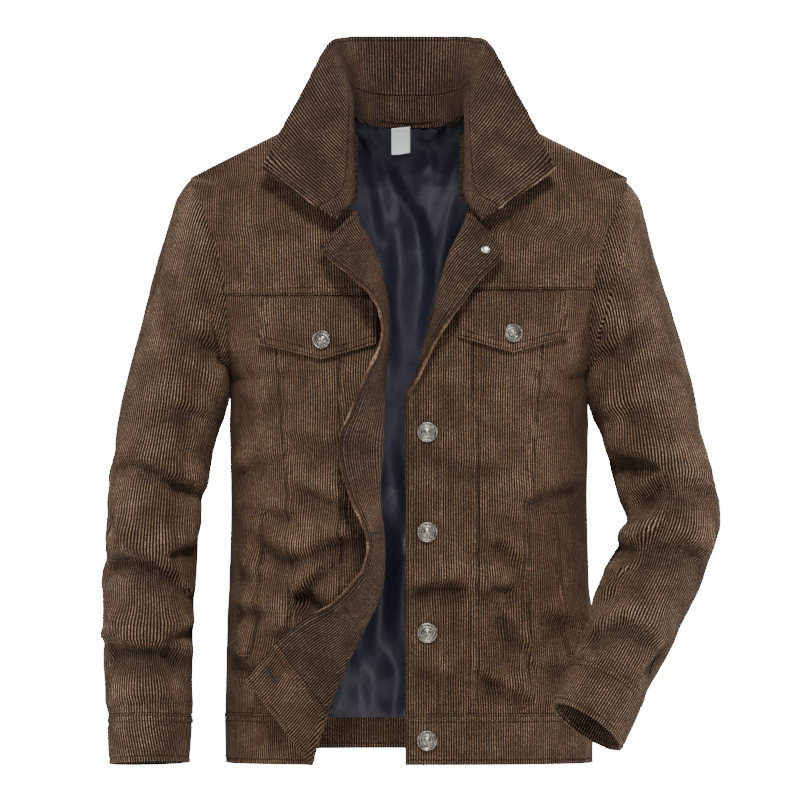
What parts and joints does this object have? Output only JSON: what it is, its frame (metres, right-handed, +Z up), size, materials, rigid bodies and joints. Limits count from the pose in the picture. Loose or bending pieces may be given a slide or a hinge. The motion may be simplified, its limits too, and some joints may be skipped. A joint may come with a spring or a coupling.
{
  "type": "corduroy trucker jacket",
  "caption": "Waist-length corduroy jacket with a turned-up collar, pointed pocket flaps, cuffs and metal buttons, worn open with one front turned outward.",
  "frame": {"origin": "base of the neck, between the shoulders, where the wearer carries the jacket", "axes": "+Z up along the wearer's body, +Y towards the wearer's back, +X towards the wearer's left"},
  "size_m": [0.6391, 0.2981, 0.7598],
  "materials": {
    "corduroy": "brown cotton corduroy with a fine raised wale",
    "lining": "dark satin lining",
    "metal": "antique pewter, lightly worn",
    "tape": "blank white woven tape"
  },
  "bodies": {
    "root": {"back": "corduroy", "back_lining": "lining", "back_waistband": "corduroy", "collar_leaf": "corduroy", "collar_stand": "corduroy", "front_button_1": "metal", "front_button_2": "metal", "front_button_3": "metal", "front_button_4": "metal", "label": "tape", "left_cuff": "corduroy", "left_facing": "corduroy", "left_flap": "corduroy", "left_flap_button": "metal", "left_front_centre": "corduroy", "left_front_middle": "corduroy", "left_front_side": "corduroy", "left_lining": "lining", "left_placket": "corduroy", "left_sleeve_top": "corduroy", "left_sleeve_under": "corduroy", "left_waistband": "corduroy", "left_welt": "corduroy", "left_yoke": "corduroy", "right_cuff": "corduroy", "right_facing": "corduroy", "right_flap": "corduroy", "right_flap_button": "metal", "right_front_centre": "corduroy", "right_front_middle": "corduroy", "right_front_side": "corduroy", "right_lining": "lining", "right_placket": "corduroy", "right_sleeve_top": "corduroy", "right_sleeve_under": "corduroy", "right_waistband": "corduroy", "right_welt": "corduroy", "right_yoke": "corduroy", "top_button": "metal", "top_button_rivet": "metal"}
  },
  "joints": []
}
